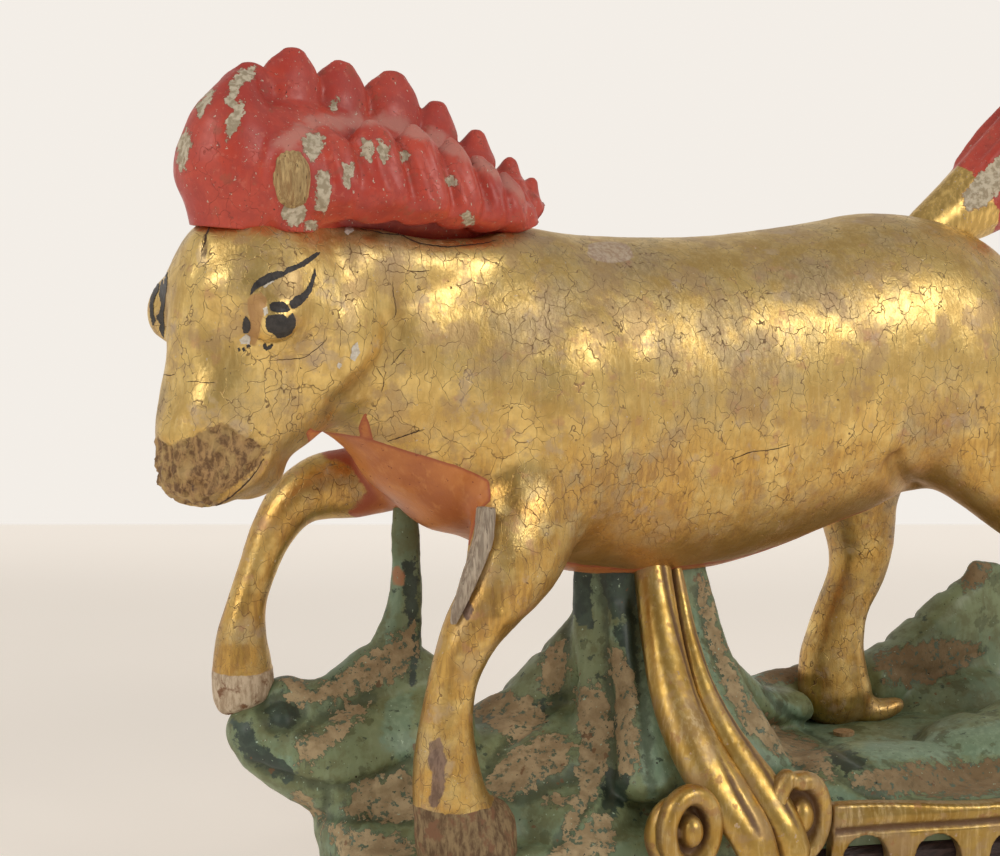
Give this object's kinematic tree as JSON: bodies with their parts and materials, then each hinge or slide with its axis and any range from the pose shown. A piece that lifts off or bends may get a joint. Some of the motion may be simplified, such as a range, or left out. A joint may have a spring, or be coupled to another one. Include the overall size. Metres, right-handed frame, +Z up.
{
  "type": "carved gilded wooden horse on a rockwork stand",
  "caption": "Carved and gilded wooden horse with a red scalloped mane and red tail, striding on a green rockwork stand edged with gilt openwork",
  "frame": {"origin": "middle of the underside of the board, at the middle of the bounding box", "axes": "+Z up, the horse faces -X and its left flank faces -Y; the longest side runs along X"},
  "size_m": [0.2888, 0.1064, 0.2253],
  "materials": {
    "gilt_body": "water gilding over gesso, worn and crackled",
    "red_hair": "red paint over gesso, chipped",
    "bare_wood": "bare carved wood",
    "right_ear": "gilded",
    "rockwork": "green paint over gesso, flaking",
    "gilt_carving": "burnished gilding",
    "board": "dark lacquer",
    "dowels": "plain bamboo and wood pins",
    "nails": "hand-cut, rusted"
  },
  "bodies": {
    "root": {"horse_body": "gilt_body", "foreleg_left": "gilt_body", "foreleg_right": "gilt_body", "hindleg_right": "gilt_body", "hindleg_left": "gilt_body", "mane_crest": "red_hair", "tail": "red_hair", "left_ear_stub": "bare_wood", "foreleg_left_splice": "bare_wood", "right_ear": "right_ear", "rock_main": "rockwork", "rock_left_lobe": "rockwork", "rock_pillar": "rockwork", "rock_spire": "rockwork", "rock_crag": "rockwork", "rock_rear_step": "rockwork", "cascade_left": "gilt_carving", "cascade_right": "gilt_carving", "scroll_left": "gilt_carving", "scroll_right": "gilt_carving", "frieze_front": "gilt_carving", "frieze_end": "gilt_carving", "frieze_back": "gilt_carving", "plinth_board": "board", "dowel_foreleg_left": "dowels", "dowel_foreleg_right": "dowels", "dowel_hindleg_left": "dowels", "dowel_hindleg_right": "dowels", "tail_dowel": "dowels", "mane_pin_front": "dowels", "mane_pin_rear": "dowels", "ear_pin_right": "dowels", "hoof_pin_foreleg_left": "dowels", "hoof_pin_foreleg_right": "dowels", "hoof_pin_hindleg_left": "dowels", "hoof_pin_hindleg_right": "dowels", "pillar_tenon": "dowels", "pillar_dowel": "dowels", "lobe_dowel": "dowels", "crag_dowel": "dowels", "board_dowel_left": "dowels", "board_dowel_right": "dowels", "nail_front_left": "nails", "nail_front_right": "nails", "nail_end_front": "nails", "nail_end_back": "nails", "nail_back_left": "nails", "nail_back_right": "nails"}
  },
  "joints": []
}
